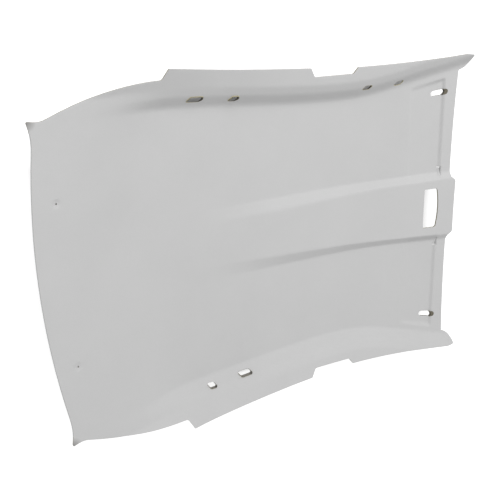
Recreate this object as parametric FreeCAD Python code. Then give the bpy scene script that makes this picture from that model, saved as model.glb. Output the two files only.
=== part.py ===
import FreeCAD, Part
import math
import os
from FreeCAD import Vector

# Moulded headliner panel of a compact car: one pressed sheet with a fabric face.
# It is drawn as it lies on its back, with X towards the windscreen, Z up to the cabin
# face, and X measured from the middle of the rear edge. The finished panel is moved so
# that its origin is the middle of its base. Lengths are in millimetres, angles in degrees.

# Overall form
PANEL_LENGTH = 1570.0
SHEET_THICKNESS = 6.0
CROWN_RADIUS = 3400.0
REAR_RISE = 137.0
REAR_SWEEP_LEAD = 80.0
REAR_SWEEP_LENGTH = 450.0
FRONT_SWEEP_START = 530.0
FRONT_SWEEP_RUN = 290.0
FRONT_SWEEP_ANGLE = 11.4

# Bow of the cross lines, measured at a given distance from the centre line
REAR_BOW = 35.0
TRAY_CORNER_BOW = 85.0
TRAY_CORNER_PLACE = 180.0
TRAY_CORNER_FADE = 420.0
REAR_BOW_HALF = 453.0
FRONT_BOW = 35.0
FRONT_BOW_START = 670.0
FRONT_BOW_RUN = 500.0
FRONT_BOW_HALF = 507.0

# Side wall, from the crease of the roof field up to the flange
CREASE_HALF_REAR = 480.0
CREASE_HALF_WAIST = 445.0
WAIST_START = 400.0
WAIST_LENGTH = 640.0
FLARE_START = 420.0
FLARE_RUN_IN = 120.0
FLARE_ANGLE = 13.0
CREASE_SOFTNESS = 14.0
WALL_WIDTH = 45.0
WALL_RISE = 48.0
WALL_RISE_FRONT = 36.0
WALL_START = 130.0
WALL_RUN_IN = 300.0
WALL_FALL_START = 390.0
WALL_FALL_RUN = 360.0
FLANGE_ANGLE_REAR = 21.0
FLANGE_ANGLE_FRONT = 8.0
FLANGE_TWIST_START = 440.0
FLANGE_TWIST_RUN = 490.0

# Centre channel that runs out to the tongue over the mirror
CHANNEL_START = 640.0
CHANNEL_RUN_IN = 160.0
CHANNEL_HALF_START = 100.0
CHANNEL_HALF_FRONT = 124.0
CHANNEL_RISE = 19.0
CHANNEL_SHOULDER = 12.0

# Sun visor pockets, held between the channel, the side ledges and the front rim
RIM_WIDTH = 45.0
RIM_RISE = 5.0
RIM_STEP_RUN = 7.0
POCKET_LENGTH = 130.0
POCKET_DEPTH = 4.0
POCKET_RUN_IN = 14.0
LEDGE_WIDTH = 33.0

# Rear edge and its two ears
REAR_EAR_HALF = 499.0
REAR_EAR_ALONG = 23.0
REAR_EAR_BACK = 62.0
REAR_EAR_NECK = 492.0
REAR_EAR_FLARE = 200.0
REAR_NECK_RADIUS = 60.0

# Side outline, from the rear ear forward
SIDE_SWELL_ALONG = 176.0
SIDE_SWELL_HALF = 532.0
SIDE_MID_ALONG = 294.0
SIDE_MID_HALF = 558.0
REAR_NOTCH_ALONG = 424.0
REAR_NOTCH_DEPTH = 32.0
REAR_NOTCH_RUN = 17.0
FLANGE_HALF_REAR = 600.0
FLANGE_INSET_MID = 21.0
FLANGE_INSET_FRONT = 36.0
BELT_NOTCH_ALONG = 934.0
BELT_NOTCH_DEPTH = 30.0
BELT_NOTCH_RUN_REAR = 20.0
BELT_NOTCH_BOTTOM = 149.0
BELT_NOTCH_RUN_FRONT = 14.0
FORE_FLANGE_RISE = 21.0
FORE_FLANGE_SWELL = 4.0
NOTCH_RADIUS = 10.0
CORNER_RADIUS = 4.0

# Front edge, its ears and the tongue
FRONT_EAR_SETBACK = 29.0
FRONT_EAR_ROOT_HALF = 517.0
FRONT_EAR_SIDE_SETBACK = 2.0
FRONT_EAR_SIDE_HALF = 533.0
FRONT_EAR_SHOULDER_HALF = 573.0
FRONT_EAR_SHOULDER = 25.0
FRONT_EAR_TIP_HALF = 569.0
FRONT_EAR_REACH = 6.0
FRONT_EAR_RADIUS = 10.0
TONGUE_HALF = 103.0
TONGUE_ROOT_HALF = 117.0
TONGUE_REACH = 15.0
TONGUE_RADIUS = 16.0

# Map lamp opening, visor slots and visor clip slits
LAMP_LENGTH = 60.0
LAMP_WIDTH = 154.0
LAMP_SETBACK = 52.0
LAMP_BOW = 8.0
LAMP_RADIUS = 10.0
VISOR_SLOT_LENGTH = 61.0
VISOR_SLOT_WIDTH = 20.0
VISOR_SLOT_SETBACK = 87.0
VISOR_SLOT_HALF = 439.0
VISOR_SLOT_TURN = 7.0
CLIP_SLIT_LENGTH = 34.0
CLIP_SLIT_WIDTH = 6.0
CLIP_SLIT_SETBACK = 44.0
CLIP_SLIT_HALF = 142.0
CLIP_BAR_LENGTH = 14.0

# Grab handle openings in the side walls
HANDLE_REAR_ALONG = 543.0
HANDLE_REAR_SPACING = 132.0
HANDLE_FRONT_PLACES = ((1178.0, 12.0), (1311.0, -5.0))
HANDLE_HOLE_LONG = 54.0
HANDLE_HOLE_SHORT = 35.0
HANDLE_HOLE_WIDTH = 23.0
HANDLE_HOLE_SLANT = 10.0
HANDLE_HOLE_RADIUS = 5.0
FRONT_HOLE_LENGTH = 38.0
FRONT_HOLE_WIDTH = 17.0

# Rear fixings: a bore in a pressed dish on each side
FIXING_ALONG = 82.0
FIXING_SPACING = 516.0
FIXING_BORE = 6.0
FIXING_DISH = 28.0
FIXING_DISH_DEPTH = 2.5

# Knots of the surface: shares of the length along the field, and shares of the way from
# the channel to the crease across it. The rest of the knots follow the steps and creases.
FIELD_KNOTS = (-0.03, 0.04, 0.10, 0.155, 0.22, 0.305, 0.415, 0.535, 0.655, 0.745, 0.825)
ACROSS_KNOTS = (0.26, 0.52, 0.76)
CREASE_KNOT_SPACING = 20.0
CREASE_KNOT_COUNT = 8
SURFACE_DEGREE = 3
NET_OVERHANG = 75.0
FLANGE_OVERHANG = 110.0
CUT_HEIGHT = 400.0
CUT_DEPTH = 40.0
FACET_TOLERANCE = 0.2


def ease(share):
    """Goes from 0 to 1 as share does, level at both ends."""
    share = min(max(share, 0.0), 1.0)
    return share * share * (3 - 2 * share)


def turn_up(distance, run_in, angle):
    """Height of a line that curves up over its run-in and goes on straight at an angle."""
    distance = max(distance, 0.0)
    curved = min(distance, run_in)
    slope = math.tan(math.radians(angle))
    return slope * (curved * curved / (2 * run_in) + distance - curved)


def centre_height(along):
    """Height of the roof field on the centre line, above its lowest part."""
    rear_share = 1 - ease((along + REAR_SWEEP_LEAD) / (REAR_SWEEP_LEAD + REAR_SWEEP_LENGTH))
    past = along - PANEL_LENGTH + FRONT_SWEEP_START
    return REAR_RISE * rear_share + turn_up(past, FRONT_SWEEP_RUN, FRONT_SWEEP_ANGLE)


def crown_height(half):
    """Rise of the roof field at a distance from the centre line."""
    return half * half / (2 * CROWN_RADIUS)


def bowed_place(along, half):
    """Place along the panel of a cross line, at a distance from the centre line."""
    swell = REAR_BOW + (TRAY_CORNER_BOW - REAR_BOW) * ease(along / TRAY_CORNER_PLACE)
    rear = swell * (1 - ease((along - TRAY_CORNER_PLACE) / TRAY_CORNER_FADE))
    front_share = ease((along - PANEL_LENGTH + FRONT_BOW_START) / FRONT_BOW_RUN)
    front = FRONT_BOW * front_share * (half / FRONT_BOW_HALF) ** 2
    return along + rear * (half / REAR_BOW_HALF) ** 2 - front


def crease_half(along):
    """Distance of the crease between field and side wall from the centre line."""
    waist = ease((along - WAIST_START) / WAIST_LENGTH)
    flare = turn_up(along - PANEL_LENGTH + FLARE_START, FLARE_RUN_IN, FLARE_ANGLE)
    return CREASE_HALF_REAR + (CREASE_HALF_WAIST - CREASE_HALF_REAR) * waist + flare


def wall_rise(along):
    """Height of the side wall over the crowned field."""
    grown = WALL_RISE * ease((along - WALL_START) / WALL_RUN_IN)
    fallen = ease((along - PANEL_LENGTH + WALL_FALL_START) / WALL_FALL_RUN)
    return grown - (WALL_RISE - WALL_RISE_FRONT) * fallen


def channel_half(along):
    """Half width of the centre channel."""
    share = (along - CHANNEL_START) / (PANEL_LENGTH - CHANNEL_START)
    share = min(max(share, 0.0), 1.0)
    return CHANNEL_HALF_START + (CHANNEL_HALF_FRONT - CHANNEL_HALF_START) * share


def pocket_level(along):
    """Level of the visor pocket and of the rim in front of it, over the crowned field."""
    rim_foot = PANEL_LENGTH - RIM_WIDTH
    depth = POCKET_DEPTH * ease((along - rim_foot + POCKET_LENGTH) / POCKET_RUN_IN)
    step = ease((along - rim_foot + RIM_STEP_RUN) / (2 * RIM_STEP_RUN))
    return -depth + (POCKET_DEPTH + RIM_RISE) * step


def ledge_level(along):
    """Level of the ledge beside the pocket, which climbs to the rim."""
    return RIM_RISE * ease((along - PANEL_LENGTH + RIM_WIDTH + POCKET_LENGTH) / POCKET_LENGTH)


def knots_along():
    """Knots of the surface along the panel, from rear to front."""
    rim_foot = PANEL_LENGTH - RIM_WIDTH
    pocket_start = rim_foot - POCKET_LENGTH
    knots = [share * PANEL_LENGTH for share in FIELD_KNOTS]
    knots += [pocket_start - POCKET_RUN_IN, pocket_start, pocket_start + 2 * POCKET_RUN_IN]
    knots += [rim_foot + step * RIM_STEP_RUN for step in (-5, -3, -1, 1, 3, 6)]
    knots.append(PANEL_LENGTH + NET_OVERHANG)
    return knots


def knots_across():
    """Knots of the surface across the panel, for the widths at the front channel."""
    channel = CHANNEL_HALF_FRONT
    crease = CREASE_HALF_REAR
    ledge_start = crease - LEDGE_WIDTH - 1.5 * CREASE_KNOT_SPACING
    half = [channel - 3 * CHANNEL_SHOULDER, channel - CHANNEL_SHOULDER]
    half += [channel + CHANNEL_SHOULDER, channel + 3 * CHANNEL_SHOULDER]
    half += [channel + share * (crease - channel) for share in ACROSS_KNOTS]
    half += [ledge_start + i * CREASE_KNOT_SPACING for i in range(CREASE_KNOT_COUNT)]
    half.append(crease + WALL_WIDTH + FLANGE_OVERHANG)
    return [-place for place in reversed(half)] + [0.0] + half


def pole_places(knots):
    """Places of the poles: each is the mean of as many knots as the degree."""
    ends = SURFACE_DEGREE
    padded = [knots[0]] * ends + knots + [knots[-1]] * ends
    count = len(padded) - SURFACE_DEGREE - 1
    return [sum(padded[i + 1:i + 1 + SURFACE_DEGREE]) / SURFACE_DEGREE for i in range(count)]


def column_half(place, along):
    """Distance of a column of the net from the centre line, where the widths change."""
    drawn = (0.0, CHANNEL_HALF_FRONT, CREASE_HALF_REAR, CREASE_HALF_REAR + WALL_WIDTH)
    crease = crease_half(along)
    real = (0.0, channel_half(along), crease, crease + WALL_WIDTH)
    half = abs(place)
    if half > drawn[-1]:
        return math.copysign(half - drawn[-1] + real[-1], place)
    return math.copysign(between(half, list(zip(drawn, real))), place)


def between(place, points):
    """Height at a place on a line of straight pieces, level past its ends."""
    for (x0, z0), (x1, z1) in zip(points, points[1:]):
        if place <= x1:
            return z0 + (z1 - z0) * max(place - x0, 0.0) / (x1 - x0)
    return points[-1][1]


def half_section(along):
    """Corners of one cross line from the centre line outwards, as (distance, rise)."""
    channel = channel_half(along)
    crease = crease_half(along)
    lift = CHANNEL_RISE * ease((along - CHANNEL_START) / CHANNEL_RUN_IN)
    pocket = pocket_level(along)
    ledge = ledge_level(along)
    wall = wall_rise(along)
    twist = ease((along - FLANGE_TWIST_START) / FLANGE_TWIST_RUN)
    angle = FLANGE_ANGLE_REAR + (FLANGE_ANGLE_FRONT - FLANGE_ANGLE_REAR) * twist
    slope = math.tan(math.radians(angle))
    soft = wall * CREASE_SOFTNESS / WALL_WIDTH
    return (
        (0.0, lift),
        (channel - CHANNEL_SHOULDER, lift),
        (channel + CHANNEL_SHOULDER, pocket),
        (crease - 1.15 * LEDGE_WIDTH, pocket),
        (crease - 0.8 * LEDGE_WIDTH, ledge),
        (crease - CREASE_SOFTNESS, ledge),
        (crease + CREASE_SOFTNESS, ledge + soft),
        (crease + WALL_WIDTH - CREASE_SOFTNESS, ledge + wall - soft),
        (crease + WALL_WIDTH + CREASE_SOFTNESS, ledge + wall),
        (crease + WALL_WIDTH + FLANGE_OVERHANG, ledge + wall + slope * FLANGE_OVERHANG),
    )


def cabin_net():
    """Poles of the cabin face, a row for each cross line."""
    net = []
    for along in pole_places(knots_along()):
        base = centre_height(along)
        section = half_section(along)
        row = []
        for place in pole_places(knots_across()):
            half = column_half(place, along)
            height = base + crown_height(half) + between(abs(half), section)
            row.append(Vector(bowed_place(along, half), half, height))
        net.append(row)
    return net


def offset_net(net, distance):
    """The same net moved square to itself, away from the cabin."""
    moved = []
    last_row = len(net) - 1
    last_column = len(net[0]) - 1
    for i, row in enumerate(net):
        line = []
        for j, pole in enumerate(row):
            ahead = net[min(i + 1, last_row)][j] - net[max(i - 1, 0)][j]
            across = row[min(j + 1, last_column)] - row[max(j - 1, 0)]
            normal = ahead.cross(across).normalize()
            line.append(pole - normal * distance)
        moved.append(line)
    return moved


def net_surface(net):
    """Smooth surface over a net of poles, which starts and ends on its edges."""
    surface = Part.BSplineSurface()
    knots = (knots_along(), knots_across())
    ends = SURFACE_DEGREE + 1
    multiplicities = [[ends] + [1] * (len(line) - 2) + [ends] for line in knots]
    surface.buildFromPolesMultsKnots(
        net, multiplicities[0], multiplicities[1], knots[0], knots[1],
        False, False, SURFACE_DEGREE, SURFACE_DEGREE,
    )
    return surface


def pressed_sheet(cabin, roof):
    """Closed sheet between the cabin face and the roof face, larger than the panel."""
    top = cabin.toShape()
    bottom = roof.toShape()
    u0, u1, v0, v1 = cabin.bounds()
    faces = [top, bottom]
    for u in (u0, u1):
        edges = [face.uIso(u).toShape() for face in (cabin, roof)]
        faces.append(Part.makeRuledSurface(edges[0], edges[1]))
    for v in (v0, v1):
        edges = [face.vIso(v).toShape() for face in (cabin, roof)]
        faces.append(Part.makeRuledSurface(edges[0], edges[1]))
    shell = Part.Shell(faces)
    shell.sewShape()
    sheet = Part.Solid(shell)
    if sheet.Volume < 0:
        sheet.reverse()
    return sheet


def line(start, end):
    """Straight plan edge."""
    return Part.LineSegment(Vector(*start, 0), Vector(*end, 0)).toShape()


def arc(start, through, end):
    """Plan edge of a circular arc through three points."""
    return Part.Arc(Vector(*start, 0), Vector(*through, 0), Vector(*end, 0)).toShape()


def spline(points):
    """Smooth plan edge through points."""
    curve = Part.BSplineCurve()
    curve.interpolate([Vector(x, y, 0) for x, y in points])
    return curve.toShape()


def side_corners():
    """Plan corners of one side, from the rear edge forward."""
    belt_in = BELT_NOTCH_ALONG + BELT_NOTCH_RUN_REAR
    belt_out = belt_in + BELT_NOTCH_BOTTOM
    flange_front = FLANGE_HALF_REAR - FLANGE_INSET_FRONT
    belt_half = flange_front - BELT_NOTCH_DEPTH
    fore_half = belt_half + FORE_FLANGE_RISE
    return {
        "rear": (REAR_BOW, REAR_BOW_HALF),
        "rear_tip": (REAR_EAR_ALONG, REAR_EAR_HALF),
        "neck": (REAR_EAR_BACK, REAR_EAR_NECK),
        "swell": (SIDE_SWELL_ALONG, SIDE_SWELL_HALF),
        "middle": (SIDE_MID_ALONG, SIDE_MID_HALF),
        "notch_in": (REAR_NOTCH_ALONG, FLANGE_HALF_REAR - REAR_NOTCH_DEPTH),
        "notch_out": (REAR_NOTCH_ALONG + REAR_NOTCH_RUN, FLANGE_HALF_REAR),
        "flange": ((REAR_NOTCH_ALONG + BELT_NOTCH_ALONG) / 2, FLANGE_HALF_REAR - FLANGE_INSET_MID),
        "belt_start": (BELT_NOTCH_ALONG, flange_front),
        "belt_in": (belt_in, belt_half),
        "belt_out": (belt_out, belt_half),
        "belt_end": (belt_out + BELT_NOTCH_RUN_FRONT, fore_half),
        "fore": ((belt_out + PANEL_LENGTH) / 2, fore_half + FORE_FLANGE_SWELL),
        "shoulder": (PANEL_LENGTH - FRONT_EAR_SHOULDER, FRONT_EAR_SHOULDER_HALF),
        "front_tip": (PANEL_LENGTH + FRONT_EAR_REACH, FRONT_EAR_TIP_HALF),
        "ear_side": (PANEL_LENGTH - FRONT_EAR_SIDE_SETBACK, FRONT_EAR_SIDE_HALF),
        "front_root": (PANEL_LENGTH - FRONT_EAR_SETBACK, FRONT_EAR_ROOT_HALF),
    }


def side_edges(corner):
    """Plan edges of one side, from the rear edge to the front edge."""
    return [
        line(corner["rear"], corner["rear_tip"]),
        line(corner["rear_tip"], corner["neck"]),
        spline([corner[name] for name in ("neck", "swell", "middle", "notch_in")]),
        line(corner["notch_in"], corner["notch_out"]),
        arc(corner["notch_out"], corner["flange"], corner["belt_start"]),
        line(corner["belt_start"], corner["belt_in"]),
        line(corner["belt_in"], corner["belt_out"]),
        line(corner["belt_out"], corner["belt_end"]),
        arc(corner["belt_end"], corner["fore"], corner["shoulder"]),
        line(corner["shoulder"], corner["front_tip"]),
        arc(corner["front_tip"], corner["ear_side"], corner["front_root"]),
    ]


def upright_edges(shape, corners):
    """Upright edges of a prism that stand on any of the given plan points."""
    found = []
    for edge in shape.Edges:
        first, last = edge.Vertexes[0].Point, edge.Vertexes[-1].Point
        if abs(first.z - last.z) < CUT_DEPTH:
            continue
        if any(math.hypot(first.x - x, first.y - y) < 0.01 for x, y in corners):
            found.append(edge)
    return found


def upright_prism(edges, low=-CUT_DEPTH, high=CUT_HEIGHT):
    """Prism over a closed plan outline, from a low to a high level."""
    wire = Part.Wire(Part.__sortEdges__(edges))
    wire.translate(Vector(0, 0, low))
    return Part.Face(wire).extrude(Vector(0, 0, high - low))


def outline_prism():
    """The trimmed outline of the panel, with its corners rounded."""
    left = side_corners()
    right = {name: (x, -y) for name, (x, y) in left.items()}
    root_along = PANEL_LENGTH - FRONT_BOW * (TONGUE_ROOT_HALF / FRONT_BOW_HALF) ** 2
    mid_half = (TONGUE_ROOT_HALF + FRONT_EAR_ROOT_HALF) / 2
    mid_along = PANEL_LENGTH - FRONT_BOW * (mid_half / FRONT_BOW_HALF) ** 2
    tongue_front = PANEL_LENGTH + TONGUE_REACH
    edges = [arc(left["rear"], (0, 0), right["rear"])]
    for side, corner in ((1, left), (-1, right)):
        edges += side_edges(corner)
        tongue_root = (root_along, side * TONGUE_ROOT_HALF)
        tongue_tip = (tongue_front, side * TONGUE_HALF)
        edges.append(arc(corner["front_root"], (mid_along, side * mid_half), tongue_root))
        edges.append(line(tongue_root, tongue_tip))
    edges.append(line((tongue_front, TONGUE_HALF), (tongue_front, -TONGUE_HALF)))
    prism = upright_prism(edges)
    roundings = (
        (REAR_EAR_FLARE, ("rear",)),
        (REAR_NECK_RADIUS, ("neck",)),
        (CORNER_RADIUS, ("rear_tip", "notch_out", "belt_start", "belt_end", "front_root")),
        (NOTCH_RADIUS, ("notch_in", "belt_in", "belt_out")),
        (FRONT_EAR_RADIUS, ("front_tip",)),
    )
    for radius, names in roundings:
        corners = [side[name] for side in (left, right) for name in names]
        prism = prism.makeFillet(radius, upright_edges(prism, corners))
    tips = [(tongue_front, TONGUE_HALF), (tongue_front, -TONGUE_HALF)]
    return prism.makeFillet(TONGUE_RADIUS, upright_edges(prism, tips))


def obround(length, width):
    """Upright prism with round ends, along X, centred on the origin."""
    straight = (length - width) / 2
    radius = width / 2
    return upright_prism([
        line((-straight, radius), (straight, radius)),
        arc((straight, radius), (straight + radius, 0), (straight, -radius)),
        line((straight, -radius), (-straight, -radius)),
        arc((-straight, -radius), (-straight - radius, 0), (-straight, radius)),
    ])


def lamp_opening():
    """Opening of the map lamp, whose front side is bowed like the front edge."""
    half = LAMP_WIDTH / 2
    front = PANEL_LENGTH - LAMP_SETBACK
    rear = front - LAMP_LENGTH
    corners = [(front - LAMP_BOW, half), (front - LAMP_BOW, -half)]
    prism = upright_prism([
        line((rear, half), corners[0]),
        arc(corners[0], (front, 0), corners[1]),
        line(corners[1], (rear, -half)),
        line((rear, -half), (rear, half)),
    ])
    return prism.makeFillet(LAMP_RADIUS, upright_edges(prism, corners))


def visor_slot(side):
    """Slot for the foot of a sun visor."""
    slot = obround(VISOR_SLOT_LENGTH, VISOR_SLOT_WIDTH)
    slot.rotate(Vector(0, 0, 0), Vector(0, 0, 1), side * VISOR_SLOT_TURN)
    along = PANEL_LENGTH - VISOR_SLOT_SETBACK
    slot.translate(Vector(along, side * VISOR_SLOT_HALF, 0))
    return slot


def clip_slit(side):
    """Narrow slit with a cross bar, for the clip of a sun visor."""
    along = PANEL_LENGTH - CLIP_SLIT_SETBACK
    outer = side * (CLIP_SLIT_HALF + (CLIP_SLIT_LENGTH - CLIP_SLIT_WIDTH) / 2)
    slit = obround(CLIP_SLIT_LENGTH, CLIP_SLIT_WIDTH)
    slit.rotate(Vector(0, 0, 0), Vector(0, 0, 1), 90)
    slit.translate(Vector(along, side * CLIP_SLIT_HALF, 0))
    bar = obround(CLIP_BAR_LENGTH, CLIP_SLIT_WIDTH)
    bar.translate(Vector(along + (CLIP_SLIT_WIDTH - CLIP_BAR_LENGTH) / 2, outer, 0))
    return slit.fuse(bar)


def seat_on(face, along, half, turn=0.0):
    """Placement on the cabin face at a plan point: Z square to it, X turned from the length."""
    upright = Part.Line(Vector(along, half, -CUT_DEPTH), Vector(along, half, CUT_HEIGHT))
    hit = upright.intersectCS(face)[0][0]
    point = Vector(hit.X, hit.Y, hit.Z)
    normal = face.normal(*face.parameter(point))
    if normal.z < 0:
        normal = -normal
    lengthwise = Vector(math.cos(turn), math.sin(turn), 0)
    rotation = FreeCAD.Rotation(lengthwise, Vector(0, 1, 0), normal, "ZXY")
    return FreeCAD.Placement(point, rotation)


def handle_hole(cabin, along, side, length, width, lift=0.0):
    """Slanted opening for a grab handle, cut square through the side wall.

    It runs along the crease, and lift is its distance above the middle of the wall in plan.
    """
    half = length / 2
    reach = width / 2
    slant = HANDLE_HOLE_SLANT
    corners = [
        (-half, -side * reach), (half - slant, -side * reach),
        (half, side * reach), (slant - half, side * reach),
    ]
    sides = [line(corners[i - 1], corners[i]) for i in range(len(corners))]
    cutter = upright_prism(sides, -CUT_DEPTH, CUT_DEPTH)
    cutter = cutter.makeFillet(HANDLE_HOLE_RADIUS, upright_edges(cutter, corners))
    place = crease_half(along) + WALL_WIDTH / 2 + lift
    spread = crease_half(along + half) - crease_half(along - half)
    cutter.Placement = seat_on(cabin, along, side * place, side * math.atan2(spread, length))
    return cutter


def fixing(cabin, side):
    """Bore of a rear fixing and the round dish pressed around it."""
    half = FIXING_DISH / 2
    ball = (half * half + FIXING_DISH_DEPTH * FIXING_DISH_DEPTH) / (2 * FIXING_DISH_DEPTH)
    down = Vector(0, 0, -1)
    bore = Part.makeCylinder(FIXING_BORE / 2, CUT_DEPTH, Vector(0, 0, 0), down)
    dish = Part.makeSphere(ball, Vector(0, 0, ball - FIXING_DISH_DEPTH))
    dish = dish.common(Part.makeCylinder(FIXING_DISH, CUT_DEPTH, Vector(0, 0, CUT_DEPTH / 2), down))
    cutter = dish.fuse(bore)
    cutter.Placement = seat_on(cabin, FIXING_ALONG, side * FIXING_SPACING / 2)
    return cutter


def opening_cutters(cabin):
    """Every opening of the panel as a cutting body."""
    cutters = [lamp_opening()]
    for side in (1, -1):
        cutters.append(visor_slot(side))
        cutters.append(clip_slit(side))
        cutters.append(fixing(cabin, side))
    rear_pair = (HANDLE_REAR_ALONG, HANDLE_REAR_ALONG + HANDLE_REAR_SPACING)
    lengths = (HANDLE_HOLE_LONG, HANDLE_HOLE_SHORT)
    for along, length in zip(rear_pair, lengths):
        cutters.append(handle_hole(cabin, along, 1, length, HANDLE_HOLE_WIDTH))
    for along, length in zip(rear_pair, reversed(lengths)):
        cutters.append(handle_hole(cabin, along, -1, length, HANDLE_HOLE_WIDTH))
    for along, lift in HANDLE_FRONT_PLACES:
        cutters.append(handle_hole(cabin, along, 1, FRONT_HOLE_LENGTH, FRONT_HOLE_WIDTH, lift))
    return cutters


def headliner_panel():
    """The whole panel: what the trimmed and pierced outline leaves of the pressed sheet."""
    net = cabin_net()
    cabin = net_surface(net)
    roof = net_surface(offset_net(net, SHEET_THICKNESS))
    outline = outline_prism().cut(opening_cutters(cabin))
    return pressed_sheet(cabin, roof).common(outline).Solids[0]


def base_middle(shape):
    """Middle of the base of the box around a shape, measured on its fine facets."""
    points = shape.tessellate(FACET_TOLERANCE)[0]
    along = [point.x for point in points]
    return Vector((min(along) + max(along)) / 2, 0, min(point.z for point in points))


def main():
    """Builds the panel and writes it with its origin at the middle of its base."""
    panel = headliner_panel()
    panel.translate(-base_middle(panel))
    os.makedirs("parts", exist_ok=True)
    panel.exportStep("parts/headliner_panel.step")


main()
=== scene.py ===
from collections import namedtuple
import math

import bmesh
import bpy
import numpy as np
from mathutils import Matrix, Vector
from mathutils.geometry import delaunay_2d_cdt
from mathutils.kdtree import KDTree


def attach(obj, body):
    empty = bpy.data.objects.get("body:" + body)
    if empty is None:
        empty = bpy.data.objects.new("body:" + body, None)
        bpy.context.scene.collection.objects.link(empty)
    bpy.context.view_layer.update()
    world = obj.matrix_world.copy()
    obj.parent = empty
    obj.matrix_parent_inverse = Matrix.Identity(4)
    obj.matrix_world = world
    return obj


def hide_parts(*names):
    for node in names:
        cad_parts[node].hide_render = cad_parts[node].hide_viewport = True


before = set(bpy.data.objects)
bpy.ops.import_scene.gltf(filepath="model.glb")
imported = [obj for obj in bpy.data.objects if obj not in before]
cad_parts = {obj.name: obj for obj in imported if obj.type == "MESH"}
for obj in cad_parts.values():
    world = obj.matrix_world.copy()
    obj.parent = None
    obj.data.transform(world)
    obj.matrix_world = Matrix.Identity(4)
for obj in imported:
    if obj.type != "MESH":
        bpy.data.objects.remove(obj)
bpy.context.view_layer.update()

bl_info = {
    "name": "Headliner panel finish",
    "version": (1, 0, 0),
    "blender": (4, 5, 0),
    "location": "3D View > Sidebar > Headliner",
    "description": "Dresses a moulded car headliner panel in knitted fabric and lights it",
    "category": "Object",
}

PANEL_NODE = "headliner_panel"
MM = 0.001

# Camera, in the frame of the panel, in metres
CAMERA_PLACE = Vector((-1.05784, 0.76901, 2.00566))
CAMERA_FORWARD = Vector((0.42289, -0.34218, -0.83909))
CAMERA_UP = Vector((0.18699, 0.93899, -0.28868))
CAMERA_LENS = 48.96
SENSOR_WIDTH = 36.0

# Floor, and the part of it in the shade of the panel: half reach, and run from there to white
FLOOR_REACH = 12.0
SHADE_EDGES = {"X": (0.66, 0.10), "Y": (0.49, 0.035)}
SHADE_CORNER = (0.98, 0.12)

# Window over the left side
WINDOW_PLACE = Vector((0.3, 2.1, 2.4))
WINDOW_SIZE = (3.0, 2.0)

# The pressed form, with X from the middle of the rear edge, in millimetres and degrees
BASE_MIDDLE = (792.533, -4.844)
PANEL_LENGTH = 1570.0
SHEET_THICKNESS = 6.0
CROWN_RADIUS = 3400.0
REAR_RISE = 137.0
REAR_SWEEP_LEAD = 80.0
REAR_SWEEP_LENGTH = 450.0
FRONT_SWEEP_START = 530.0
FRONT_SWEEP_RUN = 290.0
FRONT_SWEEP_ANGLE = 11.4
REAR_BOW = 35.0
TRAY_CORNER_BOW = 85.0
TRAY_CORNER_PLACE = 180.0
TRAY_CORNER_FADE = 420.0
REAR_BOW_HALF = 453.0
FRONT_BOW = 35.0
FRONT_BOW_START = 670.0
FRONT_BOW_RUN = 500.0
FRONT_BOW_HALF = 507.0
CREASE_HALF_REAR = 480.0
CREASE_HALF_WAIST = 445.0
WAIST_START = 400.0
WAIST_LENGTH = 640.0
FLARE_START = 420.0
FLARE_RUN_IN = 120.0
FLARE_ANGLE = 13.0
WALL_WIDTH = 45.0
WALL_RISE = 48.0
WALL_RISE_FRONT = 36.0
WALL_START = 130.0
WALL_RUN_IN = 300.0
WALL_FALL_START = 390.0
WALL_FALL_RUN = 360.0
FLANGE_ANGLE_REAR = 21.0
FLANGE_ANGLE_FRONT = 8.0
FLANGE_TWIST_START = 440.0
FLANGE_TWIST_RUN = 490.0
CHANNEL_START = 640.0
CHANNEL_RUN_IN = 160.0
CHANNEL_HALF_START = 100.0
CHANNEL_HALF_FRONT = 124.0
CHANNEL_RISE = 19.0
RIM_WIDTH = 45.0
RIM_RISE = 5.0
POCKET_LENGTH = 130.0
POCKET_DEPTH = 4.0
POCKET_RUN_IN = 14.0
LEDGE_WIDTH = 33.0
LEDGE_FOOT = 1.15 * LEDGE_WIDTH
LEDGE_BROW = 0.8 * LEDGE_WIDTH
FIELD_KNOTS = (-0.03, 0.04, 0.10, 0.155, 0.22, 0.305, 0.415, 0.535, 0.655, 0.745, 0.825)
ACROSS_KNOTS = (0.26, 0.52, 0.76)
CREASE_KNOT_LEAD = 63.0
CREASE_KNOT_SPAN = 140.0
SURFACE_DEGREE = 3
NET_OVERHANG = 75.0
FLANGE_OVERHANG = 110.0
FIXING_DISH = 28.0
FIXING_DISH_DEPTH = 2.5
FIXING_BORE = 6.0

# How tightly the bends are drawn: half widths of the bends, then the knots at them
Detail = namedtuple("Detail", (
    "crease", "brow", "shoulder", "widening", "step",
    "channel_knots", "crease_step", "rim_knots", "pocket_knots",
))
SOLID_DETAIL = Detail(
    14.0, 14.0, 12.0, 0.0, 7.0, (-36, -12, 12, 36), 20.0,
    (-35, -21, -7, 7, 21, 42), (-14, 0, 28),
)
SKIN_DETAIL = Detail(
    5.0, 14.0, 7.0, 19.0, 3.5, (-36, -28, -22, -17, -13, -9, 9, 13, 17, 22, 28, 36), 5.0,
    (-35, -24, -16, -11, -7, -4, 0, 4, 7, 11, 16, 24, 42), (-20, -14, -7, 0, 7, 14, 28),
)

# Mesh of the skin, in metres
CABIN_GRID = (0.010, 0.006)
CABIN_FINE = (0.0025, 0.0025)
ROOF_GRID = (0.016, 0.012)
BORDER_GAP = 0.4
LOOP_STEP = 0.004
HOLE_STEP = 0.002
ON_FACE = 0.0002
PLACE_STEPS = 7
SLANT_STEPS = 4
PLAN_GAP = 0.0000001
WELD = 0.000005
SHARP_ANGLE = math.radians(50)
DISH_RINGS = 7

# Reach of the fine mesh from each tight bend, in millimetres
FINE_POCKET = (-18.0, 22.0)
FINE_RIM = (-14.0, 14.0)
FINE_CHANNEL = (-20.0, 20.0)
FINE_CREASE = (-44.0, 12.0)

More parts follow.
